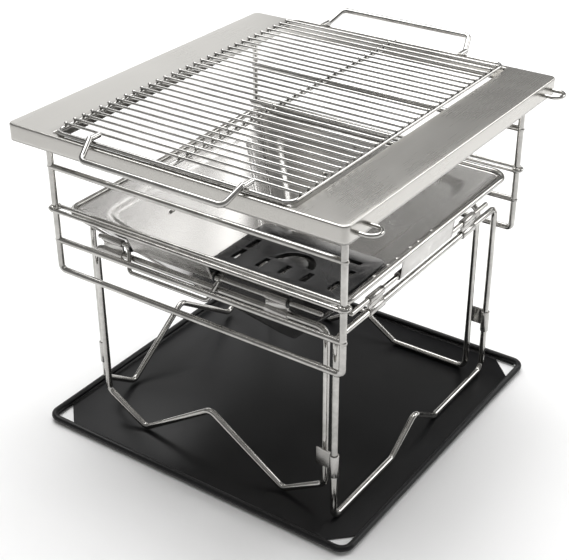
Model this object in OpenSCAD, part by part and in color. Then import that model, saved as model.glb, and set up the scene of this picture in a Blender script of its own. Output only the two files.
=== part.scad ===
// Folding charcoal grill: a square firebox of four sloping sheets hangs in a wire rim,
// stands on four folding leg frames over an ash tray, and carries a lift-off stand with
// a rod grate. +X runs to the right, +Y to the back, +Z up. The origin is on the floor
// under the middle of the tray.

/* [Stand] */
// Width of the stand's top frame, left to right
top_w = 460; // [420:1:520]
// Depth of the stand's top frame, front to back
top_d = 486; // [440:1:540]
// Height of the top frame's upper face above the floor
top_z = 426; // [400:1:470]
// Depth of the skirt round the top frame
skirt_h = 21; // [14:1:30]
// Width of each flat side strip
strip_w = 65; // [40:1:80]
// Width of the narrow ledge at the front and back of the opening
ledge_w = 8; // [5:0.5:14]
// Sheet thickness of the top frame
top_t = 1.2; // [0.8:0.1:2]
// Corner radius of the skirt
top_corner = 8; // [3:0.5:16]
// Diameter of the wire panels' outer wire
post_d = 8; // [6:0.5:10]
// Diameter of the wire panels' cross rods
cross_d = 7.5; // [4:0.5:8]
// Distance from the top frame's side edge to the middle of a wire panel's post
post_in = 25; // [20:1:40]
// Height of a wire panel's bottom wire above the floor
panel_low = 224; // [205:1:240]

/* [Grate] */
// Diameter of the grate's frame wire
grate_wire = 5; // [4:0.5:7]
// Diameter of the grate's rods
grate_rod = 3.5; // [2:0.5:4]
// Spacing of the grate's rods
rod_pitch = 14.5; // [10:0.5:20]
// Diameter of the grate handles' wire
grip_d = 7; // [5:0.5:8]
// Half the width of the grate handles at the grip
grip_x = 96; // [70:1:120]

/* [Firebox] */
// Half the width of the square rim, to the middle of its wire
rim_half = 197; // [185:1:198]
// Height of the rim wire's middle above the floor
rim_z = 302; // [290:1:320]
// Diameter of the rim wire
rim_d = 7; // [5:0.5:8]
// Height of the firebox's lowest point above the floor
firebox_low = 92; // [80:1:110]
// Sheet thickness of the firebox panels
sheet_t = 1.2; // [0.8:0.1:2]
// Diameter of the hinge rods under the rim
pivot_d = 6; // [5:0.5:7]
// Drop from the rim wire to the hinge rods
pivot_drop = 30; // [26:1:34]
// Width of the charcoal plate
plate_w = 192; // [170:1:200]
// Depth of the charcoal plate
plate_d = 150; // [130:1:170]
// Thickness of the charcoal plate
plate_t = 6; // [4:0.5:10]

/* [Legs] */
// Diameter of the leg frames' wire
leg_d = 8; // [6:0.5:8]
// Distance of the front and back leg frames from the middle
leg_y = 179; // [176:1:182]
// Half the width of the front and back leg frames
leg_half = 168; // [160:1:170]
// Distance of the right leg frame from the middle
right_x = 187; // [184:1:190]
// Half the width of the right leg frame
right_half = 189; // [188:1:192]
// Distance of the left leg frame from the middle
left_x = 191; // [190:1:192]
// Half the width of the left leg frame
left_half = 160; // [156:1:161]
// Drop from a hinge rod to the leg frame's upper wire
leg_drop = 16; // [14:1:18]

/* [Tray] */
// Width of the ash tray
tray_w = 468; // [440:1:500]
// Depth of the ash tray
tray_d = 470; // [440:1:500]
// Height of the tray's rolled edge
tray_h = 10; // [7:1:14]
// Sheet thickness of the tray
tray_t = 1.2; // [0.8:0.1:2]

/* [Hidden] */
$fn = 32;
gap = 0.3;
run_gap = 0.06;
weld = 0.4;
post_r = post_d / 2;
post_x = top_w / 2 - post_in;
cross_r = cross_d / 2;
rim_r = rim_d / 2;
pivot_r = pivot_d / 2;
leg_r = leg_d / 2;
grip_r = grip_d / 2;
clip_wall = 1.6;
bend_r = 12;
bend_swell = 0.05;
bend_tuck = 0.5;

// Leg frames
foot_z = tray_t + gap + leg_r;
pivot_z = rim_z - pivot_drop;
left_raise = 16;
leg_len = pivot_z - leg_drop - foot_z;
w_bend_rise = 36;
w_foot = 108;
w_apex_rise = 72;
v_foot = 54;
v_apex_rise = 35;
clip_at = 110;
clip_len = 30;
front_clips = [-139, 102];

// Stand
post_y = rim_half + rim_r + post_r + 0.5;
pin_z = top_z - skirt_h + post_r + 3;
hairpin_r = 2.5;
hairpin_z = rim_z + rim_r + hairpin_r + gap;
top_rod_z = hairpin_z + 55;
low_rod_z = hairpin_z - 43;
pin_in = 22;
open_x = top_w / 2 - strip_w;
open_y = top_d / 2 - ledge_w;

// Firebox
sheet_half = rim_half - rim_r + 0.3;
sheet_top = rim_z - 1;
tip_half = 6;
slope = atan2(sheet_top - firebox_low, sheet_half - tip_half);
slant = norm([sheet_top - firebox_low, sheet_half - tip_half]);
hip_gap = 1.4;
recess_inset = 26;
recess_depth = 1.0;
plate_low = sheet_top - (sheet_half - sheet_t / sin(slope) - plate_w / 2 - gap) * tan(slope);
hinge_tube_len = 124;
strap_len = 108;
tube_wall = 1.9;
front_tube_x = -46;

// Grate
grate_z = top_z + gap + grate_wire / 2;
grate_x = open_x - grate_wire / 2 - 3;
grate_y = open_y + grate_wire / 2 - 2;
rod_count = 2 * floor((grate_y - 16) / rod_pitch) + 1;
rod_z = grate_z + grate_wire / 2 + grate_rod / 2 - weld;
bar_z = rod_z - grate_rod / 2 - grate_wire / 2 + weld;

// ---------- wire shapes ----------

function unit(v) = v / norm(v);
function turn(a, b, c) = acos(min(1, max(-1, unit(b - a) * unit(c - b))));

// A straight round rod from a to b
module rod(a, b, r) {
    v = b - a;
    translate(a)
        rotate([0, acos(v[2] / norm(v)), atan2(v[1], v[0])])
            cylinder(h = norm(v), r = r);
}

// The round bend of radius big at corner b of the path a, b, c
module bend(a, b, c, big, r) {
    d1 = unit(b - a);
    d2 = unit(c - b);
    angle = turn(a, b, c);
    inward = unit(d2 - (d1 * d2) * d1);
    start = b - big * tan(angle / 2) * d1;
    centre = start + big * inward;
    axis = cross(-inward, d1);
    multmatrix([
        [-inward[0], d1[0], axis[0], centre[0]],
        [-inward[1], d1[1], axis[1], centre[1]],
        [-inward[2], d1[2], axis[2], centre[2]],
        [0, 0, 0, 1]
    ])
        rotate_extrude(angle = angle)
            translate([big, 0])
                circle(r = r + bend_swell);
}

// A wire of radius r along the points, bent to radius big at each corner
module wire(points, r, big, closed = false) {
    n = len(points);
    cut = [for (i = [0 : n - 1])
        (closed || (i > 0 && i < n - 1))
            ? big * tan(turn(points[(i + n - 1) % n], points[i], points[(i + 1) % n]) / 2)
            : 0];
    union() {
        for (i = [0 : closed ? n - 1 : n - 2]) {
            a = points[i];
            b = points[(i + 1) % n];
            d = unit(b - a);
            tuck = [cut[i] > 0 ? bend_tuck : 0, cut[(i + 1) % n] > 0 ? bend_tuck : 0];
            rod(a + (cut[i] - tuck[0]) * d, b - (cut[(i + 1) % n] - tuck[1]) * d, r);
        }
        for (i = [closed ? 0 : 1 : closed ? n - 1 : n - 2])
            bend(points[(i + n - 1) % n], points[i], points[(i + 1) % n], big, r);
    }
}

// A tube along X, from x = a to x = b
module tube_x(a, b, outer, inner) {
    translate([a, 0, 0])
        rotate([0, 90, 0])
            difference() {
                cylinder(h = b - a, r = outer);
                translate([0, 0, -1])
                    cylinder(h = b - a + 2, r = inner);
            }
}

// A flat outline with round corners, centred on the origin
module round_rect(w, d, r) {
    square([w - 2 * r, d], center = true);
    square([w, d - 2 * r], center = true);
    for (x = [-1, 1], y = [-1, 1])
        translate([x * (w / 2 - r), y * (d / 2 - r)])
            circle(r = r);
}

// ---------- ash tray ----------

bead_r = 4;
tray_cut = 34;

module ash_tray() {
    color([0.07, 0.07, 0.075]) {
        wire_half_x = tray_w / 2 - bead_r;
        wire_half_y = tray_d / 2 - bead_r;
        bead_z = tray_h - bead_r;
        difference() {
            union() {
                linear_extrude(tray_t)
                    square([tray_w - 2 * bead_r - 8, tray_d - 2 * bead_r - 8], center = true);
                for (side = [0 : 3])
                    rotate(side * 90)
                        tray_wall(side % 2 == 0 ? wire_half_y : wire_half_x,
                                  side % 2 == 0 ? wire_half_x : wire_half_y, bead_z);
            }
            for (x = [-1, 1], y = [-1, 1])
                scale([x, y, 1])
                    translate([wire_half_x - 4, wire_half_y - 4, -1])
                        linear_extrude(tray_h + 2)
                            polygon([[0.01, 0.01], [-tray_cut, 0.01], [0.01, -tray_cut]]);
        }
        wire([for (c = [[-1, -1], [1, -1], [1, 1], [-1, 1]])
                [c[0] * wire_half_x, c[1] * wire_half_y, bead_z]],
             bead_r, 14, closed = true);
    }
}

// The short sloping wall that joins the tray's floor to its rolled edge
module tray_wall(off, half, bead_z) {
    rise = bead_z - tray_t / 2;
    translate([0, -off, 0])
        rotate([90, 0, 90])
            translate([0, 0, -half + 10])
                linear_extrude(2 * half - 20)
                    polygon([[4.5, 0], [5.5, tray_t], [tray_t, rise], [0, rise], [-0.5, rise - 1]]);
}

// ---------- leg frames ----------

// A leg frame drawn in the XZ plane, hanging from its upper wire at z = 0
module w_frame(half) {
    wire([
        [-half, 0, 0],
        [half, 0, 0],
        [half, 0, -leg_len + w_bend_rise],
        [w_foot, 0, -leg_len],
        [0, 0, -leg_len + w_apex_rise],
        [-w_foot, 0, -leg_len],
        [-half, 0, -leg_len + w_bend_rise]
    ], leg_r, bend_r, closed = true);
}

module v_frame(half) {
    wire([
        [-half, 0, 0],
        [half, 0, 0],
        [half, 0, -leg_len],
        [v_foot, 0, -leg_len],
        [0, 0, -leg_len + v_apex_rise],
        [-v_foot, 0, -leg_len],
        [-half, 0, -leg_len]
    ], leg_r, bend_r, closed = true);
}

// The same two shapes with longer legs, for the raised left frame
module raised_w_frame(half, lift) {
    wire([
        [-half, 0, 0],
        [half, 0, 0],
        [half, 0, -leg_len - lift + w_bend_rise],
        [w_foot, 0, -leg_len - lift],
        [0, 0, -leg_len - lift + w_apex_rise],
        [-w_foot, 0, -leg_len - lift],
        [-half, 0, -leg_len - lift + w_bend_rise]
    ], leg_r, bend_r, closed = true);
}

module front_leg_frame() {
    color([0.75, 0.75, 0.74])
        translate([0, -leg_y, pivot_z - leg_drop])
            w_frame(leg_half);
}

module back_leg_frame() {
    color([0.75, 0.75, 0.74])
        translate([0, leg_y, pivot_z - leg_drop])
            v_frame(leg_half);
}

module left_leg_frame() {
    color([0.75, 0.75, 0.74])
        translate([-left_x, 0, pivot_z + left_raise - leg_drop])
            rotate(90)
                raised_w_frame(left_half, left_raise);
}

module right_leg_frame() {
    color([0.75, 0.75, 0.74])
        translate([right_x, 0, pivot_z - leg_drop])
            rotate(90)
                v_frame(right_half);
}

// The pair of sheet clips that wrap a leg frame's upper wire and turn on the hinge rod
module leg_clips(places = [-clip_at, clip_at]) {
    color([0.8, 0.8, 0.79])
        for (x = places)
            difference() {
                translate([x - clip_len / 2, 0, 0])
                    union() {
                        rotate([0, 90, 0])
                            cylinder(h = clip_len, r = pivot_r + run_gap + clip_wall);
                        translate([0, 0, -leg_drop])
                            rotate([0, 90, 0])
                                cylinder(h = clip_len, r = leg_r + clip_wall);
                        translate([0, -clip_wall, -leg_drop])
                            cube([clip_len, 2 * clip_wall, leg_drop]);
                    }
                translate([x - clip_len / 2 - 1, 0, 0])
                    rotate([0, 90, 0])
                        cylinder(h = clip_len + 2, r = pivot_r + run_gap);
                translate([x - clip_len / 2 - 1, 0, -leg_drop])
                    rotate([0, 90, 0])
                        cylinder(h = clip_len + 2, r = leg_r);
            }
}

module front_leg_clips() { at_front() leg_clips(front_clips); }
module back_leg_clips() { at_back() leg_clips(); }
module left_leg_clips() { at_left() leg_clips(); }
module right_leg_clips() { at_right() leg_clips(); }

// Places of the four hinge rods
module at_front() { translate([0, -leg_y, pivot_z]) children(); }
module at_back() { translate([0, leg_y, pivot_z]) rotate(180) children(); }
module at_left() { translate([-left_x, 0, pivot_z + left_raise]) rotate(-90) children(); }
module at_right() { translate([right_x, 0, pivot_z]) rotate(90) children(); }

// ---------- corner links ----------

link_z = 68;
link_h = 30;
link_wall = 1.5;

// A sleeve round a leg with a flat arm of the given reach along -X
module link(reach) {
    color([0.78, 0.78, 0.76])
        translate([0, 0, link_z])
            difference() {
                union() {
                    cylinder(h = link_h, r = leg_r + run_gap + link_wall);
                    translate([-reach, -link_wall / 2, 8])
                        cube([reach, link_wall, 24]);
                }
                translate([0, 0, -1])
                    cylinder(h = link_h + 4, r = leg_r + run_gap);
            }
}

right_reach = right_x - leg_half + leg_r + 1.5;
left_turn = atan2(leg_y - left_half, left_x - leg_half);
left_reach = norm([left_x - leg_half, leg_y - left_half]) - leg_r - 5;

module front_right_link() {
    translate([right_x, -right_half, 0])
        link(right_reach);
}
module back_right_link() {
    mirror([0, 1, 0])
        front_right_link();
}
module front_left_link() {
    translate([-left_x, -left_half, 0])
        rotate(180 - left_turn)
            link(left_reach);
}
module back_left_link() {
    mirror([0, 1, 0])
        front_left_link();
}

// ---------- firebox ----------

module rim_wire() {
    color([0.75, 0.75, 0.74])
        wire([for (c = [[-1, -1], [1, -1], [1, 1], [-1, 1]])
                [c[0] * rim_half, c[1] * rim_half, rim_z]],
             rim_r, 22, closed = true);
}

// One sloping panel, its upper edge along X at y = -sheet_half
module firebox_panel() {
    top = sheet_half - hip_gap;
    low = tip_half - hip_gap / 2;
    near = top - recess_inset;
    far = recess_inset * 0.7;
    reach = slant - recess_inset * 1.6;
    color([0.78, 0.78, 0.77])
        translate([0, -sheet_half, sheet_top])
            rotate([-slope, 0, 0]) {
                difference() {
                    linear_extrude(sheet_t)
                        polygon([[-top + 16, 0], [top - 16, 0], [low, slant], [-low, slant]]);
                    translate([0, 0, -1])
                        linear_extrude(sheet_t + 2)
                            polygon([[-near + 22, recess_inset], [near - 22, recess_inset],
                                     [far, reach], [-far, reach]]);
                }
                translate([0, 0, -recess_depth])
                    linear_extrude(sheet_t)
                        polygon([[-near + 21, recess_inset - 1], [near - 21, recess_inset - 1],
                                 [far + 1, reach + 1], [-far - 1, reach + 1]]);
            }
}

module front_panel() { firebox_panel(); }
module right_panel() { rotate(90) firebox_panel(); }
module back_panel() { rotate(180) firebox_panel(); }
module left_panel() { rotate(270) firebox_panel(); }

// Rivet heads on the panels' inner faces, in two rows on each panel
module panel_rivets() {
    color([0.7, 0.7, 0.68])
        for (side = [0 : 3])
            rotate(side * 90)
                translate([0, -sheet_half, sheet_top])
                    rotate([-slope, 0, 0])
                        for (spot = [[-76, 14], [-26, 14], [24, 14], [-52, 62], [0, 62], [52, 62]])
                            translate([spot[0], spot[1],
                                       sheet_t - (spot[1] > recess_inset ? recess_depth : 0)])
                                cylinder(h = 1.4, r = 2.6);
}

// A hinge tube along X with one long strap up to the rim; out is the rim's distance outwards
module hinge_tube(out, up, shift) {
    color([0.8, 0.8, 0.79])
        difference() {
            union() {
                translate([shift - hinge_tube_len / 2, 0, 0])
                    rotate([0, 90, 0])
                        cylinder(h = hinge_tube_len, r = pivot_r + tube_wall);
                translate([shift - strap_len / 2, 0, 0])
                    rotate([90, 0, 90])
                        linear_extrude(strap_len)
                            polygon([[-1, 2], [1, 2],
                                     [-out + 1, up - rim_r + weld], [-out - 1, up - rim_r + weld]]);
            }
            translate([shift - hinge_tube_len / 2 - 1, 0, 0])
                rotate([0, 90, 0])
                    cylinder(h = hinge_tube_len + 2, r = pivot_r);
        }
}

module front_hinge_tube() { at_front() hinge_tube(rim_half - leg_y, pivot_drop, front_tube_x); }
module back_hinge_tube() { at_back() hinge_tube(rim_half - leg_y, pivot_drop, 0); }
module left_hinge_tube() { at_left() hinge_tube(rim_half - left_x, pivot_drop - left_raise, 0); }
module right_hinge_tube() { at_right() hinge_tube(rim_half - right_x, pivot_drop, 0); }

// A hinge rod with domed ends
module hinge_rod(half) {
    color([0.8, 0.8, 0.79]) {
        translate([-half, 0, 0])
            rotate([0, 90, 0])
                cylinder(h = 2 * half, r = pivot_r);
        for (x = [-half, half])
            translate([x, 0, 0])
                sphere(r = pivot_r);
    }
}

module front_hinge_rod() { at_front() hinge_rod(rod_half); }
module back_hinge_rod() { at_back() hinge_rod(rod_half); }
module left_hinge_rod() { at_left() hinge_rod(rod_half); }
module right_hinge_rod() { at_right() hinge_rod(rod_half); }
rod_half = 160;

// ---------- carry handle ----------

handle_lean = 26;
handle_reach = 30;
handle_r = 2.5;
eye_len = 5;
washer_len = 1.6;
eye_off = hinge_tube_len / 2 + washer_len + 1;

// Black washers between the hinge tube and the handle's eyes, and beside the right clip
module handle_washers() {
    color([0.08, 0.08, 0.08])
        at_front()
            for (x = [front_tube_x - hinge_tube_len / 2 - washer_len,
                      front_tube_x + hinge_tube_len / 2,
                      front_clips[1] + clip_len / 2 + gap])
                tube_x(x, x + washer_len, pivot_r + 3.2, pivot_r);
}

module carry_handle() {
    left_eye = front_tube_x - eye_off - eye_len;
    right_eye = front_tube_x + eye_off;
    color([0.75, 0.75, 0.74])
        at_front()
            rotate([-handle_lean, 0, 0])
                difference() {
                    union() {
                        for (x = [left_eye, right_eye])
                            translate([x, 0, 0])
                                rotate([0, 90, 0])
                                    cylinder(h = eye_len, r = pivot_r + run_gap + 2.2);
                        wire([
                            [left_eye + eye_len / 2, 0, -pivot_r - 1],
                            [left_eye + eye_len / 2 + 8, 0, -handle_reach],
                            [right_eye + eye_len / 2 - 8, 0, -handle_reach],
                            [right_eye + eye_len / 2, 0, -pivot_r - 1]
                        ], handle_r, 7);
                    }
                    translate([left_eye - 10, 0, 0])
                        rotate([0, 90, 0])
                            cylinder(h = right_eye - left_eye + 30, r = pivot_r + run_gap);
                }
}

// ---------- charcoal plate ----------

module charcoal_plate() {
    color([0.06, 0.06, 0.065])
        translate([0, 0, plate_low])
            difference() {
                linear_extrude(plate_t)
                    plate_outline();
                translate([0, 0, -1])
                    linear_extrude(plate_t + 2)
                        plate_slots();
            }
}

module plate_outline() {
    w = plate_w / 2;
    d = plate_d / 2;
    c = 7;
    polygon([[-w + c, -d], [w - c, -d], [w, -d + c], [w, d - c],
             [w - c, d], [-w + c, d], [-w, d - c], [-w, -d + c]]);
}

slot_w = 26;
slot_d = 9;

module plate_slots() {
    for (side = [-1, 1]) {
        for (x = [-60, -24, 24, 60])
            translate([x, side * (plate_d / 2 - 26)])
                square([slot_w, slot_d], center = true);
        for (y = [-16, 16])
            translate([side * (plate_w / 2 - 22), y])
                square([slot_d, slot_w], center = true);
    }
    difference() {
        circle(r = 30);
        circle(r = 20);
        translate([-40, -60])
            square([80, 60]);
    }
    for (x = [-34, 0, 34])
        translate([x, -18])
            square([slot_d, slot_w - 2], center = true);
}

// ---------- stand ----------

module top_frame() {
    color([0.72, 0.71, 0.69]) {
        translate([0, 0, top_z - skirt_h])
            linear_extrude(skirt_h)
                difference() {
                    round_rect(top_w, top_d, top_corner);
                    round_rect(top_w - 2 * top_t, top_d - 2 * top_t, top_corner - top_t);
                }
        translate([0, 0, top_z - top_t])
            linear_extrude(top_t)
                difference() {
                    round_rect(top_w, top_d, top_corner);
                    square([2 * open_x, 2 * open_y], center = true);
                }
        for (x = [-1, 1])
            translate([x > 0 ? open_x : -open_x - top_t, -open_y, top_z - 12])
                cube([top_t, 2 * open_y, 12]);
    }
}

// Four sheet brackets under the side strips that hold the wire panels' pins
bracket_x = post_x - 14;
module stand_brackets() {
    color([0.78, 0.78, 0.76])
        for (x = [-1, 1], y = [-1, 1])
            translate([x * bracket_x - 2.5, y * post_y, 0])
                difference() {
                    union() {
                        translate([0, -8, pin_z - 1])
                            cube([5, 16, top_z - top_t - pin_z + 1]);
                        translate([0, 0, pin_z])
                            rotate([0, 90, 0])
                                cylinder(h = 5, r = post_r + run_gap + 2.4);
                    }
                    translate([-1, 0, pin_z])
                        rotate([0, 90, 0])
                            cylinder(h = 7, r = post_r + run_gap);
                }
}

module wire_panel() {
    color([0.75, 0.75, 0.74]) {
        wire([
            [-post_x + pin_in, 0, pin_z],
            [-post_x, 0, pin_z],
            [-post_x, 0, panel_low],
            [post_x, 0, panel_low],
            [post_x, 0, pin_z],
            [post_x - pin_in, 0, pin_z]
        ], post_r, 7);
        for (z = [top_rod_z, low_rod_z])
            rod([-post_x, 0, z], [post_x, 0, z], cross_r);
        hairpin_off = post_r + hairpin_r - weld;
        wire([for (c = [[-1, -1], [1, -1], [1, 1], [-1, 1]])
                [c[0] * (post_x + hairpin_off), c[1] * hairpin_off, hairpin_z]],
             hairpin_r, hairpin_off - 0.1, closed = true);
    }
}

module front_wire_panel() { translate([0, -post_y, 0]) wire_panel(); }
module back_wire_panel() { translate([0, post_y, 0]) wire_panel(); }

loop_z = top_z - 12;
loop_wire = 2.5;
module hook_loop(y) {
    color([0.75, 0.75, 0.74])
        translate([top_w / 2 - 0.4, y, loop_z])
            wire([[0, -11, 0], [22, -11, 0], [22, 11, 0], [0, 11, 0]], loop_wire, 10.9);
}
module front_hook_loop() { hook_loop(-top_d / 2 + 28); }
module back_hook_loop() { hook_loop(top_d / 2 - 28); }

// ---------- grate ----------

module grate_frame() {
    color([0.8, 0.8, 0.79])
        wire([for (c = [[-1, -1], [1, -1], [1, 1], [-1, 1]])
                [c[0] * grate_x, c[1] * grate_y, grate_z]],
             grate_wire / 2, 10, closed = true);
}

module grate_rods() {
    color([0.8, 0.8, 0.79])
        for (i = [0 : rod_count - 1]) {
            y = (i - (rod_count - 1) / 2) * rod_pitch;
            rod([-grate_x - 1, y, rod_z], [grate_x + 1, y, rod_z], grate_rod / 2);
        }
}

module grate_cross_bar() {
    color([0.8, 0.8, 0.79])
        rod([4, -grate_y - 1, bar_z], [4, grate_y + 1, bar_z], grate_wire / 2);
}

// A handle of the grate: two short roots along the frame, then a grip bent out and up
module grate_handle(out, up) {
    root_z = grate_z + grate_wire / 2 + grip_r - weld;
    tilt = atan2(up, out - 5);
    reach = norm([out - 5, up]);
    color([0.8, 0.8, 0.79])
        translate([0, -grate_y - 5, root_z]) {
            rotate([-tilt, 0, 0])
                wire([
                    [-grip_x - 8, 2.5, 0],
                    [-grip_x, -reach, 0],
                    [grip_x, -reach, 0],
                    [grip_x + 8, 2.5, 0]
                ], grip_r, 8);
            for (x = [-grip_x - 8, grip_x + 8])
                translate([x, -1.5, 0])
                    rotate([-90, 0, 0])
                        cylinder(h = 18.5, r = grip_r - 0.2);
        }
}

module front_grate_handle() {
    grate_handle(28, -14);
}
module back_grate_handle() {
    mirror([0, 1, 0])
        grate_handle(28, 12);
}

ash_tray();
rim_wire();
front_panel();
back_panel();
left_panel();
right_panel();
panel_rivets();
front_hinge_tube();
back_hinge_tube();
left_hinge_tube();
right_hinge_tube();
front_hinge_rod();
back_hinge_rod();
left_hinge_rod();
right_hinge_rod();
handle_washers();
carry_handle();
charcoal_plate();
front_leg_frame();
back_leg_frame();
left_leg_frame();
right_leg_frame();
front_leg_clips();
back_leg_clips();
left_leg_clips();
right_leg_clips();
front_left_link();
front_right_link();
back_left_link();
back_right_link();
top_frame();
stand_brackets();
front_wire_panel();
back_wire_panel();
front_hook_loop();
back_hook_loop();
grate_frame();
grate_rods();
grate_cross_bar();
front_grate_handle();
back_grate_handle();
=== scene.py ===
import bmesh
import bpy
import numpy as np
from mathutils import Matrix, Vector


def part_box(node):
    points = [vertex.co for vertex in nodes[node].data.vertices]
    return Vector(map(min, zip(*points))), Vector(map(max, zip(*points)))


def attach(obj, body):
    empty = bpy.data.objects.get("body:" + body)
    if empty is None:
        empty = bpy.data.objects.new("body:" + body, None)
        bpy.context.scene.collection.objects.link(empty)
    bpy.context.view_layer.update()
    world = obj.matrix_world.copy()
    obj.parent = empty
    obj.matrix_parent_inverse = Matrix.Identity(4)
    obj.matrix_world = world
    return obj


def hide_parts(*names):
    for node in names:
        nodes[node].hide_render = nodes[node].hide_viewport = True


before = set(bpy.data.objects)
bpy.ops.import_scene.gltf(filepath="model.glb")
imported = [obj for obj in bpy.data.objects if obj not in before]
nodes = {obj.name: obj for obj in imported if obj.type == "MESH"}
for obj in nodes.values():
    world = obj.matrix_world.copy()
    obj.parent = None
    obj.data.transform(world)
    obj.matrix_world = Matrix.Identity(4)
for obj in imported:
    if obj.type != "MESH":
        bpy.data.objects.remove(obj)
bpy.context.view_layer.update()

# ---------- Floor, light and camera ----------
# A pale studio table inside a soft tent that is grey at the sides and lighter at the floor
# and overhead. A large lamp hangs over the grill, and two more stand behind it.

scene = bpy.context.scene
scene.view_settings.view_transform = "Standard"

table_half = 40
table_gap = 0.0012
table_corners = [(sx * table_half, sy * table_half, 0) for sx, sy in ((-1, -1), (1, -1), (1, 1), (-1, 1))]
table_mesh = bpy.data.meshes.new("table")
table_mesh.from_pydata(table_corners, [], [(0, 1, 2, 3)])
table = bpy.data.objects.new("table", table_mesh)
scene.collection.objects.link(table)
table.location.z = -table_gap
table_paint = bpy.data.materials.new("table_paint")
table_paint.use_nodes = True
table_shader = table_paint.node_tree.nodes["Principled BSDF"]
table_shader.inputs["Base Color"].default_value = (0.93, 0.93, 0.93, 1)
table_shader.inputs["Roughness"].default_value = 0.8
table_mesh.materials.append(table_paint)

tent_below = (0.62, 0.62, 0.615, 1)
tent_overhead = (0.62, 0.615, 0.61, 1)
tent_sides = {0.1: 0.34, 0.22: 0.20, 0.45: 0.27, 0.7: 0.24}
warmth = np.array([1, 0.995, 0.98])
scene.world = bpy.data.worlds.new("studio_tent")
scene.world.use_nodes = True
tent = scene.world.node_tree
tent_way = tent.nodes.new("ShaderNodeTexCoord")
tent_height = tent.nodes.new("ShaderNodeSeparateXYZ")
tent_shade = tent.nodes.new("ShaderNodeValToRGB")
tent_shade.color_ramp.elements[0].position = 0.0
tent_shade.color_ramp.elements[0].color = tent_below
tent_shade.color_ramp.elements[1].position = 1.0
tent_shade.color_ramp.elements[1].color = tent_overhead
for share, grey in tent_sides.items():
    tent_shade.color_ramp.elements.new(share).color = (*(grey * warmth), 1)
tent.links.new(tent_way.outputs["Generated"], tent_height.inputs[0])
tent.links.new(tent_height.outputs["Z"], tent_shade.inputs["Fac"])
tent.links.new(tent_shade.outputs["Color"], tent.nodes["Background"].inputs["Color"])
tent.nodes["Background"].inputs["Strength"].default_value = 1.0


def soft_light(name, place, aim, size, watts):
    """A flat rectangular lamp of size (width, height) at place, turned to face aim."""
    lamp = bpy.data.lights.new(name, "AREA")
    lamp.shape = "RECTANGLE"
    lamp.size, lamp.size_y = size
    lamp.energy = watts
    holder = bpy.data.objects.new(name, lamp)
    holder.location = place
    holder.rotation_euler = (Vector(aim) - Vector(place)).to_track_quat("-Z", "Y").to_euler()
    holder.visible_camera = False
    scene.collection.objects.link(holder)


soft_light("overhead_box", place=(-0.5, 0.65, 2.5), aim=(-0.45, 0.6, 0), size=(2.6, 2.2), watts=86)
soft_light("back_right_box", place=(1.4, 1.85, 1.35), aim=(-0.1, 0, 0.25), size=(1.5, 1.1), watts=16)
soft_light("back_left_box", place=(-2.1, 1.5, 1.15), aim=(0, 0, 0.4), size=(1.9, 1.1), watts=6)

camera_place = (0.7746, -1.1246, 0.9711)
view_forward = Vector((-0.499, 0.706, -0.502)).normalized()
view_level = view_forward.cross(Vector((0, 0, 1))).normalized()
view_up = view_level.cross(view_forward)
tilt = -0.008
side = np.cos(tilt) * np.array(view_level) + np.sin(tilt) * np.array(view_up)
up = -np.sin(tilt) * np.array(view_level) + np.cos(tilt) * np.array(view_up)
camera = bpy.data.objects.new("camera", bpy.data.cameras.new("camera"))
camera.data.lens = 77.41
camera.data.sensor_width = 36
camera.data.shift_x = 0.0079
camera.data.shift_y = -0.0021
turn = Matrix((side, up, -np.array(view_forward))).transposed().to_4x4()
camera.matrix_world = Matrix.Translation(camera_place) @ turn
scene.collection.objects.link(camera)
scene.camera = camera

# ---------- Finish: brushed and drawn stainless ----------
# Every steel piece is stainless. Sheet is brushed along its length, wire is drawn, and both
# carry faint wipe marks. The grain and the marks are two node groups that each steel uses.


def new_group(name, inputs, outputs):
    """An empty shader group with float inputs {name: value} and the named outputs."""
    group = bpy.data.node_groups.new(name, "ShaderNodeTree")
    group.interface.new_socket("Vector", in_out="INPUT", socket_type="NodeSocketVector")
    for label, value in inputs.items():
        socket = group.interface.new_socket(label, in_out="INPUT", socket_type="NodeSocketFloat")
        socket.default_value = value
    for label in outputs:
        group.interface.new_socket(label, in_out="OUTPUT", socket_type="NodeSocketFloat")
    return group, group.nodes.new("NodeGroupInput"), group.nodes.new("NodeGroupOutput")


brushed_grain, grain_in, grain_out = new_group(
    "brushed_grain", {"Fineness": 900.0, "Stretch": 0.02}, ["Grain"])
stretch = brushed_grain.nodes.new("ShaderNodeVectorMath")
stretch.operation = "MULTIPLY"
along = brushed_grain.nodes.new("ShaderNodeCombineXYZ")
along.inputs["X"].default_value = 1
along.inputs["Z"].default_value = 1
grain_noise = brushed_grain.nodes.new("ShaderNodeTexNoise")
grain_noise.inputs["Detail"].default_value = 3
links = brushed_grain.links
links.new(grain_in.outputs["Stretch"], along.inputs["Y"])
links.new(grain_in.outputs["Vector"], stretch.inputs[0])
links.new(along.outputs[0], stretch.inputs[1])
links.new(stretch.outputs[0], grain_noise.inputs["Vector"])
links.new(grain_in.outputs["Fineness"], grain_noise.inputs["Scale"])
links.new(grain_noise.outputs["Fac"], grain_out.inputs["Grain"])

wipe_marks, marks_in, marks_out = new_group("wipe_marks", {"Size": 9.0, "Edge": 0.5}, ["Marks"])
broad = wipe_marks.nodes.new("ShaderNodeTexNoise")
broad.inputs["Detail"].default_value = 5
broad.inputs["Distortion"].default_value = 0.7
level = wipe_marks.nodes.new("ShaderNodeMapRange")
level.inputs["From Max"].default_value = 0.75
links = wipe_marks.links
links.new(marks_in.outputs["Vector"], broad.inputs["Vector"])
links.new(marks_in.outputs["Size"], broad.inputs["Scale"])
links.new(broad.outputs["Fac"], level.inputs["Value"])
links.new(marks_in.outputs["Edge"], level.inputs["From Min"])
links.new(level.outputs["Result"], marks_out.inputs["Marks"])


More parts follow.
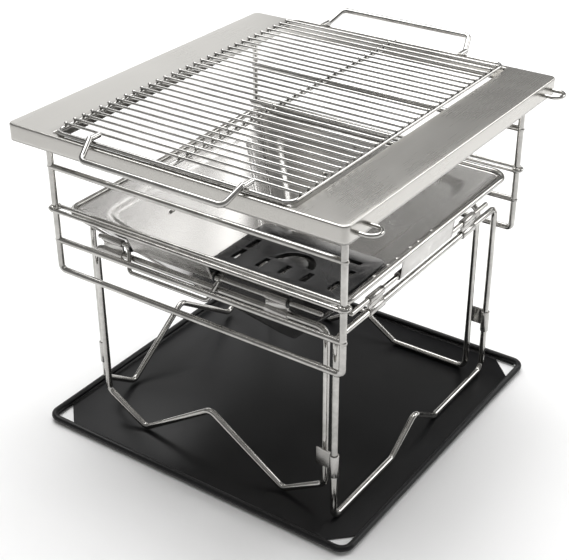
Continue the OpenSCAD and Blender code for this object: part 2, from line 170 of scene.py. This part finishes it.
def steel(name, light, dark, rough, rough_spread, fineness, stretch_y, grain_height, mark_size):
    """A stainless finish: colour runs from dark to light with the mean of the grain and the
    wipe marks, roughness is rough plus rough_spread times that mean, and the grain is also a
    fine bump grain_height deep. The grain has fineness lines a metre, stretched along Y by
    one over stretch_y."""
    material = bpy.data.materials.new(name)
    material.use_nodes = True
    tree = material.node_tree
    shader = tree.nodes["Principled BSDF"]
    shader.inputs["Metallic"].default_value = 1
    place = tree.nodes.new("ShaderNodeTexCoord")
    grain = tree.nodes.new("ShaderNodeGroup")
    grain.node_tree = brushed_grain
    grain.inputs["Fineness"].default_value = fineness
    grain.inputs["Stretch"].default_value = stretch_y
    marks = tree.nodes.new("ShaderNodeGroup")
    marks.node_tree = wipe_marks
    marks.inputs["Size"].default_value = mark_size
    marks.inputs["Edge"].default_value = 0.35
    both = tree.nodes.new("ShaderNodeMath")
    both.operation = "ADD"
    half = tree.nodes.new("ShaderNodeMath")
    half.operation = "MULTIPLY"
    half.inputs[1].default_value = 0.5
    tone = tree.nodes.new("ShaderNodeValToRGB")
    tone.color_ramp.elements[0].position = 0.25
    tone.color_ramp.elements[0].color = (*dark, 1)
    tone.color_ramp.elements[1].position = 0.75
    tone.color_ramp.elements[1].color = (*light, 1)
    shine = tree.nodes.new("ShaderNodeMapRange")
    shine.inputs["To Min"].default_value = rough
    shine.inputs["To Max"].default_value = rough + rough_spread
    relief = tree.nodes.new("ShaderNodeBump")
    relief.inputs["Strength"].default_value = 0.35
    relief.inputs["Distance"].default_value = grain_height
    tree.links.new(place.outputs["Object"], grain.inputs["Vector"])
    tree.links.new(place.outputs["Object"], marks.inputs["Vector"])
    tree.links.new(grain.outputs["Grain"], both.inputs[0])
    tree.links.new(marks.outputs["Marks"], both.inputs[1])
    tree.links.new(both.outputs[0], half.inputs[0])
    tree.links.new(half.outputs[0], tone.inputs["Fac"])
    tree.links.new(half.outputs[0], shine.inputs["Value"])
    tree.links.new(tone.outputs["Color"], shader.inputs["Base Color"])
    tree.links.new(shine.outputs["Result"], shader.inputs["Roughness"])
    tree.links.new(grain.outputs["Grain"], relief.inputs["Height"])
    tree.links.new(relief.outputs["Normal"], shader.inputs["Normal"])
    return material


# ---------- Top frame ----------
# The stand's top is one sheet of satin stainless, brushed front to back. Its outer edge is
# folded down into a skirt, and the opening's edges are folded down beside the grate.

frame_satin = steel(
    "frame_satin", light=(0.585, 0.572, 0.545), dark=(0.54, 0.527, 0.5), rough=0.25, rough_spread=0.08,
    fineness=1100, stretch_y=0.012, grain_height=0.00006, mark_size=7)


def grid_piece(name, points, closed_u=False, closed_v=False, thickness=0.0, offset=-1.0):
    """Puts an array of points, shape (u, v, 3), into a mesh of four-sided faces that join
    each point to the next along u and v, and back to the first where a way is closed."""
    count_u, count_v = points.shape[:2]
    a = np.arange(count_u if closed_u else count_u - 1)[:, None]
    b = np.arange(count_v if closed_v else count_v - 1)[None, :]
    a2, b2 = (a + 1) % count_u, (b + 1) % count_v
    row, next_row = a * count_v, a2 * count_v
    faces = np.stack([row + b, next_row + b, next_row + b2, row + b2], -1).reshape(-1, 4)
    mesh = bpy.data.meshes.new(name)
    mesh.from_pydata(points.reshape(-1, 3).tolist(), [], faces.tolist())
    mesh.polygons.foreach_set("use_smooth", [True] * len(mesh.polygons))
    piece = bpy.data.objects.new(name, mesh)
    scene.collection.objects.link(piece)
    if thickness:
        wall = piece.modifiers.new("wall", "SOLIDIFY")
        wall.thickness = thickness
        wall.offset = offset
    return piece


def round_rectangle(half_x, half_y, radius, side_steps=20, corner_steps=8):
    """Points anticlockwise round a rectangle with round corners, and their outward normals:
    each corner is a quarter circle, and the straight sides between are cut evenly."""
    angle = np.linspace(0, np.pi / 2, corner_steps)
    outline, outward = [], []
    corners = np.array([(1, 1), (-1, 1), (-1, -1), (1, -1)]) * (half_x - radius, half_y - radius)
    for k, centre in enumerate(corners):
        arc = np.stack([np.cos(angle + k * np.pi / 2), np.sin(angle + k * np.pi / 2)], -1)
        end_arc = centre + radius * arc[-1]
        next_start = corners[(k + 1) % 4] + radius * arc[-1]
        share = np.linspace(0, 1, side_steps + 2)[1:-1, None]
        outline += [centre + radius * arc, end_arc + share * (next_start - end_arc)]
        outward += [arc, np.repeat(arc[-1:], side_steps, 0)]
    return np.concatenate(outline), np.concatenate(outward)


low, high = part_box("top_frame")
top_half_x, top_half_y, top_height, skirt_low = high.x, high.y, high.z, low.z
opening_x, opening_y = 0.165, top_half_y - 0.008
outer_bend, inner_bend, sheet = 0.0022, 0.0016, 0.001
side_fold, end_fold = 0.0115, 0.0035
outer, outer_out = round_rectangle(top_half_x, top_half_y, 0.008)
inner, inner_out = round_rectangle(opening_x, opening_y, 0.003)
fold_depth = np.where(np.abs(inner_out[:, 0]) > 0.7, side_fold, end_fold)
rings = []


def add_ring(line, height):
    """One more ring of the sheet: the line's points in X and Y, all at the given height."""
    rings.append(np.column_stack([line, np.full(len(line), height)]))


for height in np.linspace(skirt_low + 0.0002, top_height - outer_bend, 6):
    add_ring(outer, height)
for a in np.linspace(0, np.pi / 2, 6)[1:]:
    bend_line = outer - outer_out * outer_bend * (1 - np.cos(a))
    add_ring(bend_line, top_height - outer_bend + outer_bend * np.sin(a))
outer_top = rings[-1][:, :2]
inner_top = inner + inner_out * inner_bend
for share in np.linspace(0, 1, 8)[1:]:
    add_ring(outer_top + share * (inner_top - outer_top), top_height)
for a in np.linspace(0, np.pi / 2, 5)[1:]:
    bend_line = inner + inner_out * inner_bend * (1 - np.sin(a))
    add_ring(bend_line, top_height - inner_bend * (1 - np.cos(a)))
add_ring(inner, top_height - fold_depth)
folded_top = grid_piece("folded_top_frame", np.stack(rings, 1), closed_u=True, thickness=sheet)
folded_top.data.materials.append(frame_satin)
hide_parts("top_frame")
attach(folded_top, "stand")

# ---------- Brackets, clips, links, hinge tubes ----------
# Small parts cut from stainless sheet and rolled or folded round the wires. Their cut edges
# are tumbled, so each is shown with its edges slightly rounded.

clip_sheet = steel(
    "clip_sheet", light=(0.62, 0.61, 0.59), dark=(0.42, 0.41, 0.395), rough=0.16, rough_spread=0.16,
    fineness=1400, stretch_y=0.05, grain_height=0.00005, mark_size=30)


def eased_copy(node, name, material, body, radius, steps=2):
    """A copy of a node's solid with its doubled points merged and its edges rounded over."""
    mesh = nodes[node].data.copy()
    work = bmesh.new()
    work.from_mesh(mesh)
    bmesh.ops.remove_doubles(work, verts=work.verts, dist=1e-6)
    work.to_mesh(mesh)
    work.free()
    mesh.materials.clear()
    mesh.materials.append(material)
    mesh.polygons.foreach_set("use_smooth", [True] * len(mesh.polygons))
    piece = bpy.data.objects.new(name, mesh)
    scene.collection.objects.link(piece)
    ease = piece.modifiers.new("eased_edges", "BEVEL")
    ease.width = radius
    ease.segments = steps
    ease.limit_method = "ANGLE"
    ease.angle_limit = 0.6
    ease.harden_normals = True
    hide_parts(node)
    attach(piece, body)


eased_copy("stand_brackets", "rolled_brackets", clip_sheet, "stand", 0.0004)
clip_bodies = {"front": "front_legs", "back": "back_legs", "left": "firebox", "right": "firebox"}
for edge, body in clip_bodies.items():
    eased_copy(f"{edge}_leg_clips", f"{edge}_rolled_clips", clip_sheet, body, 0.0004)
for corner in ["front_left", "front_right", "back_left", "back_right"]:
    link, body = f"{corner}_crimped_link", f"{corner}_link_body"
    eased_copy(f"{corner}_link", link, clip_sheet, body, 0.0003)

# ---------- Wires of the stand, legs, rim and handles ----------
# Bright drawn stainless wire, bent cold. The drawing leaves fine lines and small changes of
# shine along each wire.

drawn_wire = steel(
    "drawn_wire", light=(0.62, 0.61, 0.585), dark=(0.42, 0.412, 0.395), rough=0.08, rough_spread=0.11,
    fineness=260, stretch_y=0.6, grain_height=0.00004, mark_size=26)


def finish_nodes(names, material):
    """Gives each named CAD node the material, in place of its own."""
    for node in names:
        nodes[node].data.materials.clear()
        nodes[node].data.materials.append(material)


finish_nodes(["rim_wire", "carry_handle"], drawn_wire)
for edge in ("front", "back"):
    finish_nodes([f"{edge}_wire_panel", f"{edge}_hook_loop"], drawn_wire)
for edge in ("front", "back", "left", "right"):
    finish_nodes([f"{edge}_leg_frame", f"{edge}_hinge_rod"], drawn_wire)

# ---------- Grate ----------
# Plated wire: a heavy frame wire, thin rods across it and one bar under them, spot welded at
# every crossing. The welds stand up as small bright beads.

grate_plate = steel(
    "grate_plate", light=(0.62, 0.61, 0.59), dark=(0.4, 0.393, 0.378), rough=0.1, rough_spread=0.12,
    fineness=300, stretch_y=0.5, grain_height=0.00004, mark_size=20)
finish_nodes(["grate_frame", "grate_rods", "grate_cross_bar", "front_grate_handle", "back_grate_handle"],
             grate_plate)


def bead_run(name, centres, radii, material, body, steps=(8, 6)):
    """Many small domed beads in one mesh: the same ball, stretched by radii along X, Y and
    Z, is copied to every centre by adding two arrays. steps is round it and up it."""
    around, up_steps = steps
    theta = np.linspace(0, 2 * np.pi, around, endpoint=False)
    phi = np.linspace(-np.pi / 2, np.pi / 2, up_steps + 1)[1:-1]
    levels = np.stack([np.outer(np.cos(phi), np.cos(theta)), np.outer(np.cos(phi), np.sin(theta)),
                       np.outer(np.sin(phi), np.ones(around))], -1).reshape(-1, 3)
    ball = np.vstack([[0, 0, -1], levels, [0, 0, 1]]) * np.array(radii)
    rows = len(phi)
    j = np.arange(around)
    k = (j + 1) % around
    last = 1 + (rows - 1) * around
    bottom = np.stack([np.zeros(around, int), 1 + k, 1 + j], -1)
    top = np.stack([np.full(around, len(ball) - 1), last + j, last + k], -1)
    r = np.arange(rows - 1)[:, None] * around + 1
    band = np.stack([r + j, r + k, r + around + k, r + around + j], -1).reshape(-1, 4)
    centres = np.asarray(centres, float)
    verts = (centres[:, None, :] + ball[None]).reshape(-1, 3)
    shift = (np.arange(len(centres)) * len(ball))[:, None, None]
    triangles = (np.stack([bottom, top]).reshape(1, -1, 3) + shift).reshape(-1, 3)
    quads = (band[None] + shift).reshape(-1, 4)
    mesh = bpy.data.meshes.new(name)
    mesh.from_pydata(verts.tolist(), [], triangles.tolist() + quads.tolist())
    mesh.polygons.foreach_set("use_smooth", [True] * len(mesh.polygons))
    mesh.materials.append(material)
    piece = bpy.data.objects.new(name, mesh)
    scene.collection.objects.link(piece)
    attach(piece, body)
    return piece


def node_points(node):
    """All points of a node's mesh as one array, shape (count, 3)."""
    vertices = nodes[node].data.vertices
    points = np.empty(3 * len(vertices))
    vertices.foreach_get("co", points)
    return points.reshape(-1, 3)


def rod_middles(node, axis, clear=0.004):
    """The middles of a node's separate rods along an axis: the points are sorted along it
    and cut wherever the next one is more than clear on, and each run's ends are averaged."""
    points = np.unique(np.round(node_points(node)[:, axis], 5))
    cuts = np.flatnonzero(np.diff(points) > clear)
    starts = np.concatenate([[0], cuts + 1])
    ends = np.concatenate([cuts, [len(points) - 1]])
    return (points[starts] + points[ends]) / 2


def rod_welds(x, lift):
    """One weld on every grate rod at x, its centre lift above the rod's."""
    return np.column_stack([np.full(len(rod_y), x), rod_y, np.full(len(rod_y), rod_height + lift)])


rods_low, rods_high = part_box("grate_rods")
bar_low, bar_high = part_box("grate_cross_bar")
rod_y = rod_middles("grate_rods", axis=1)
rod_height = (rods_low.z + rods_high.z) / 2
wire_x = (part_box("grate_frame")[1].x + rods_high.x - 0.001) / 2 - 0.0012
bar_x = (bar_low.x + bar_high.x) / 2
end_welds = np.concatenate([rod_welds(-wire_x, 0.0003), rod_welds(wire_x, 0.0003)])
bead_run("grate_end_welds", end_welds, (0.0027, 0.0024, 0.0019), grate_plate, "grate")
bar_welds = rod_welds(bar_x, 0.0002)
bead_run("grate_bar_welds", bar_welds, (0.0034, 0.0025, 0.0021), grate_plate, "grate")

# ---------- Weld beads on the stand's wire panels ----------
# The cross rods and the double middle rod are spot welded to the posts. Each weld is a small
# smooth swelling round the joint.

rim_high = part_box("rim_wire")[1]
hairpin_r, joint_sink, rim_clear = 0.0025, 0.0004, 0.0003
upper_rod, lower_rod, beside = 0.055, -0.043, 0.0045
weld_size = (0.0052, 0.0043, 0.0042)
for edge in ("front", "back"):
    low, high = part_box(f"{edge}_wire_panel")
    plane = (low.y + high.y) / 2
    post_r = (high.y - low.y) / 2 - 2 * hairpin_r + joint_sink
    post = high.x - 2 * hairpin_r - post_r + joint_sink
    hairpin_z = rim_high.z + hairpin_r + rim_clear
    joints = [(0, -beside), (0, beside), (upper_rod, 0), (lower_rod, 0)]
    spots = [(x, plane + dy, hairpin_z + dz) for x in (-post, post) for dz, dy in joints]
    bead_run(f"{edge}_panel_welds", spots, weld_size, drawn_wire, f"{edge}_wires", (14, 10))

# ---------- Fire box panels ----------
# Four pressed sheets of bright stainless form an upside-down pyramid. Each has a shallow
# pressed field with soft corners, and its upper edge follows the rim wire.

panel_bright = steel(
    "panel_bright", light=(0.59, 0.58, 0.565), dark=(0.5, 0.49, 0.475), rough=0.2, rough_spread=0.1,
    fineness=700, stretch_y=0.03, grain_height=0.00003, mark_size=6)
rim_inside = rim_high.x - 0.0067
panel_top = rim_high.z - 0.0045
sheet_cover = 0.0006
panel_low_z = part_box("front_panel")[0].z + sheet_cover
tip = 0.006
rim_bend = 0.0185
rim_corner = rim_bend * (1 - np.sqrt(0.5))
corner_in = rim_inside - rim_corner
hip_gap = 0.0004
field_edge, field_slope, field_depth = 0.022, 0.0045, 0.0019


def pressed_panel(name, quarter):
    """One side of the pyramid as a grid. s runs across it and t down it. A point starts on
    the rim's inner line, with its round corners, and moves in a straight line to the small
    square at the bottom. The pressed field sinks by a smooth step of the soft minimum of
    the distances to the panel's three edges. quarter turns it by that many right angles."""
    s = np.linspace(-1, 1, 90)[:, None]
    t = np.linspace(0, 1, 70)[None, :] ** 1.15
    start_x = s * corner_in
    past = np.clip(np.abs(start_x) - (rim_inside - rim_bend), 0, rim_bend)
    curve = rim_bend - np.sqrt(rim_bend ** 2 - past ** 2)
    x = s * ((1 - t) * corner_in + t * tip)
    inward = (1 - t) * curve + t * (rim_inside - tip)
    steep = (panel_top - panel_low_z) / (rim_inside - tip)
    z = panel_top - (inward - curve * (1 - t) ** 6) * steep
    slant = np.hypot(1, steep)
    from_top = inward * slant
    hip_share = slant / np.hypot(slant, 1)
    from_left = (rim_inside - inward - x) * hip_share
    from_right = (rim_inside - inward + x) * hip_share
    soft = 0.007
    edges = [from_top, from_left, from_right]
    nearest = -soft * np.log(sum(np.exp(-distance / soft) for distance in edges))
    step = np.clip((nearest - field_edge) / field_slope, 0, 1)
    sink = field_depth * step * step * (3 - 2 * step)
    gap = hip_gap * np.clip(t * 20, 0, 1)
    last_share = 0.02
    x = x - np.sign(s) * np.clip(np.abs(s) - (1 - last_share), 0, 1) / last_share * gap
    y = -(rim_inside - inward) - sink * steep / slant
    points = np.stack([x * np.ones_like(y), y, z - sink / slant], -1)
    cos, sin = np.cos(quarter * np.pi / 2), np.sin(quarter * np.pi / 2)
    points = points @ np.array([[cos, sin, 0], [-sin, cos, 0], [0, 0, 1]])
    panel = grid_piece(name, points, thickness=sheet)
    panel.data.materials.append(panel_bright)
    return panel


for quarter, edge in enumerate(["front", "right", "back", "left"]):
    panel = pressed_panel(f"{edge}_pressed_panel", quarter)
    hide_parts(f"{edge}_panel")
    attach(panel, "firebox")


# ---------- Hinge tubes ----------
# Under each side of the rim a stainless strip is rolled into a tube for the hinge rod, and
# its flat part runs up over the inside of the rim wire, where it is spot welded.

strip_top_out, strip_below, end_in = 0.1942, 0.0005, 0.0006
strip_sheet, rod_clear = 0.0012, 0.0011
for edge in ["front", "back", "left", "right"]:
    low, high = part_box(f"{edge}_hinge_tube")
    rod_low, rod_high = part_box(f"{edge}_hinge_rod")
    across_axis = 1 if edge in ("front", "back") else 0
    along_axis = 1 - across_axis
    tube_at = (rod_low[across_axis] + rod_high[across_axis]) / 2
    tube_z = (rod_low.z + rod_high.z) / 2
    outward = np.sign(tube_at)
    strip_top = np.array([outward * strip_top_out - tube_at, high.z - strip_below - tube_z])
    rod_r = (rod_high.z - rod_low.z) / 2
    roll = np.linspace(np.radians(-60), np.radians(262), 30)
    curl = (rod_r + rod_clear) * np.stack([np.sin(roll) * -outward, np.cos(roll)], -1)
    rise = np.linspace(0, 1, 9)[1:, None]
    straight = curl[-1] + rise * (strip_top - curl[-1])
    profile = np.vstack([curl, straight])
    run = np.linspace(low[along_axis] + end_in, high[along_axis] - end_in, 30)
    points = np.zeros((len(run), len(profile), 3))
    points[:, :, along_axis] = run[:, None]
    points[:, :, across_axis] = tube_at + profile[None, :, 0]
    points[:, :, 2] = tube_z + profile[None, :, 1]
    strip = grid_piece(f"{edge}_rolled_tube", points, thickness=strip_sheet, offset=0)
    strip.data.materials.append(clip_sheet)
    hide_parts(f"{edge}_hinge_tube")
    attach(strip, "firebox")

# ---------- Hip seams ----------
# The panels meet at folded seams on the outside of the pyramid. Each seam is a narrow rolled
# bead that runs from the rim's corner to the bottom.


def round_bar(name, path, radius, material, body, around=12):
    """A round bar along straight or curved points: at each point a circle lies across the
    path, on two normals taken from one fixed sideways direction. Its ends close to a point."""
    ahead = np.gradient(path, axis=0)
    ahead /= np.linalg.norm(ahead, axis=1)[:, None]
    across = np.cross(ahead, [0.31, 0.17, 0.94])
    across /= np.linalg.norm(across, axis=1)[:, None]
    other = np.cross(ahead, across)
    size = np.full(len(path), radius)
    size[0] = size[-1] = 1e-5
    theta = np.linspace(0, 2 * np.pi, around, endpoint=False)[None, :, None]
    circle = np.cos(theta) * across[:, None] + np.sin(theta) * other[:, None]
    points = path[:, None] + size[:, None, None] * circle
    bar = grid_piece(name, points, closed_v=True)
    bar.data.materials.append(material)
    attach(bar, body)


seam_r, seam_out, seam_below_rim = 0.0016, 0.0004, 0.008
run = np.linspace(0, 1, 40)[:, None]
for number, (sx, sy) in enumerate([(1, -1), (1, 1), (-1, 1), (-1, -1)], 1):
    start = np.array([sx * (corner_in + seam_out), sy * (corner_in + seam_out), panel_top - seam_below_rim])
    finish = np.array([sx * (tip + seam_out), sy * (tip + seam_out), panel_low_z + sheet_cover])
    seam = start + run * (finish - start)
    round_bar(f"hip_seam_{number}", seam, seam_r, panel_bright, "firebox")

# ---------- Rivets ----------
# Solid stainless rivets with domed heads hold the hinge straps to the panels. The points of
# the plain rivets are sorted into cells, touching cells are one rivet, and its head's centre
# is the middle of the box round them.

rivet_points = node_points("panel_rivets")
cell_size, far = 0.012, 9.0
cells, cell_of = np.unique(np.round(rivet_points / cell_size).astype(int), axis=0, return_inverse=True)
cell_of = cell_of.ravel()
cell_low = np.full((len(cells), 3), far)
cell_high = -cell_low
np.minimum.at(cell_low, cell_of, rivet_points)
np.maximum.at(cell_high, cell_of, rivet_points)
touching = np.linalg.norm(cells[:, None] - cells[None], axis=-1) < 1.8
group_low = np.where(touching[:, :, None], cell_low[None], far).min(1)
group_high = np.where(touching[:, :, None], cell_high[None], -far).max(1)
middles = np.unique(np.round((group_low + group_high) / 2, 5), axis=0)
head_size = (0.0029, 0.0029, 0.0019)
heads = bead_run("rivet_heads", middles, head_size, clip_sheet, "firebox", (16, 10))
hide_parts("panel_rivets")

# ---------- Washers ----------
# Black coated steel washers beside the handle's eyes.


def coated(name, colour, dust, rough, rough_spread, pit_scale, pit_height, gloss):
    """A black coating: fine pits from a noise bump pit_height deep, and a faint grey bloom
    where the wipe marks are, which are duller by up to rough_spread. gloss is how strongly
    it reflects."""
    material = bpy.data.materials.new(name)
    material.use_nodes = True
    tree = material.node_tree
    shader = tree.nodes["Principled BSDF"]
    shader.inputs["Specular IOR Level"].default_value = gloss
    place = tree.nodes.new("ShaderNodeTexCoord")
    marks = tree.nodes.new("ShaderNodeGroup")
    marks.node_tree = wipe_marks
    marks.inputs["Size"].default_value = 7
    marks.inputs["Edge"].default_value = 0.42
    tone = tree.nodes.new("ShaderNodeValToRGB")
    tone.color_ramp.elements[0].color = (*colour, 1)
    tone.color_ramp.elements[1].color = (*dust, 1)
    shine = tree.nodes.new("ShaderNodeMapRange")
    shine.inputs["To Min"].default_value = rough
    shine.inputs["To Max"].default_value = rough + rough_spread
    pits = tree.nodes.new("ShaderNodeTexNoise")
    pits.inputs["Scale"].default_value = pit_scale
    pits.inputs["Detail"].default_value = 4
    relief = tree.nodes.new("ShaderNodeBump")
    relief.inputs["Strength"].default_value = 0.5
    relief.inputs["Distance"].default_value = pit_height
    tree.links.new(place.outputs["Object"], marks.inputs["Vector"])
    tree.links.new(place.outputs["Object"], pits.inputs["Vector"])
    tree.links.new(marks.outputs["Marks"], tone.inputs["Fac"])
    tree.links.new(marks.outputs["Marks"], shine.inputs["Value"])
    tree.links.new(tone.outputs["Color"], shader.inputs["Base Color"])
    tree.links.new(shine.outputs["Result"], shader.inputs["Roughness"])
    tree.links.new(pits.outputs["Fac"], relief.inputs["Height"])
    tree.links.new(relief.outputs["Normal"], shader.inputs["Normal"])
    return material


washer_black = coated(
    "washer_black", colour=(0.012, 0.012, 0.012), dust=(0.02, 0.02, 0.02), rough=0.35, rough_spread=0.15,
    pit_scale=900, pit_height=0.00005, gloss=0.5)
eased_copy("handle_washers", "coated_washers", washer_black, "firebox", 0.0003)

# ---------- Charcoal plate ----------
# A thick plate with cut slots, coated black. It shines more than the tray, and the casting's
# grain shows under the coat.

plate_black = coated(
    "plate_black", colour=(0.006, 0.006, 0.0065), dust=(0.013, 0.013, 0.0135), rough=0.2, rough_spread=0.14,
    pit_scale=420, pit_height=0.00018, gloss=0.4)
eased_copy("charcoal_plate", "coated_charcoal_plate", plate_black, "coal_plate", 0.0009, 3)

# ---------- Ash tray ----------
# Pressed sheet with a rolled edge and open corners, baked in satin black enamel.

tray_enamel = coated(
    "tray_enamel", colour=(0.007, 0.007, 0.0075), dust=(0.011, 0.011, 0.012), rough=0.34, rough_spread=0.12,
    pit_scale=650, pit_height=0.00006, gloss=0.25)
eased_copy("ash_tray", "enamelled_tray", tray_enamel, "tray", 0.0004)
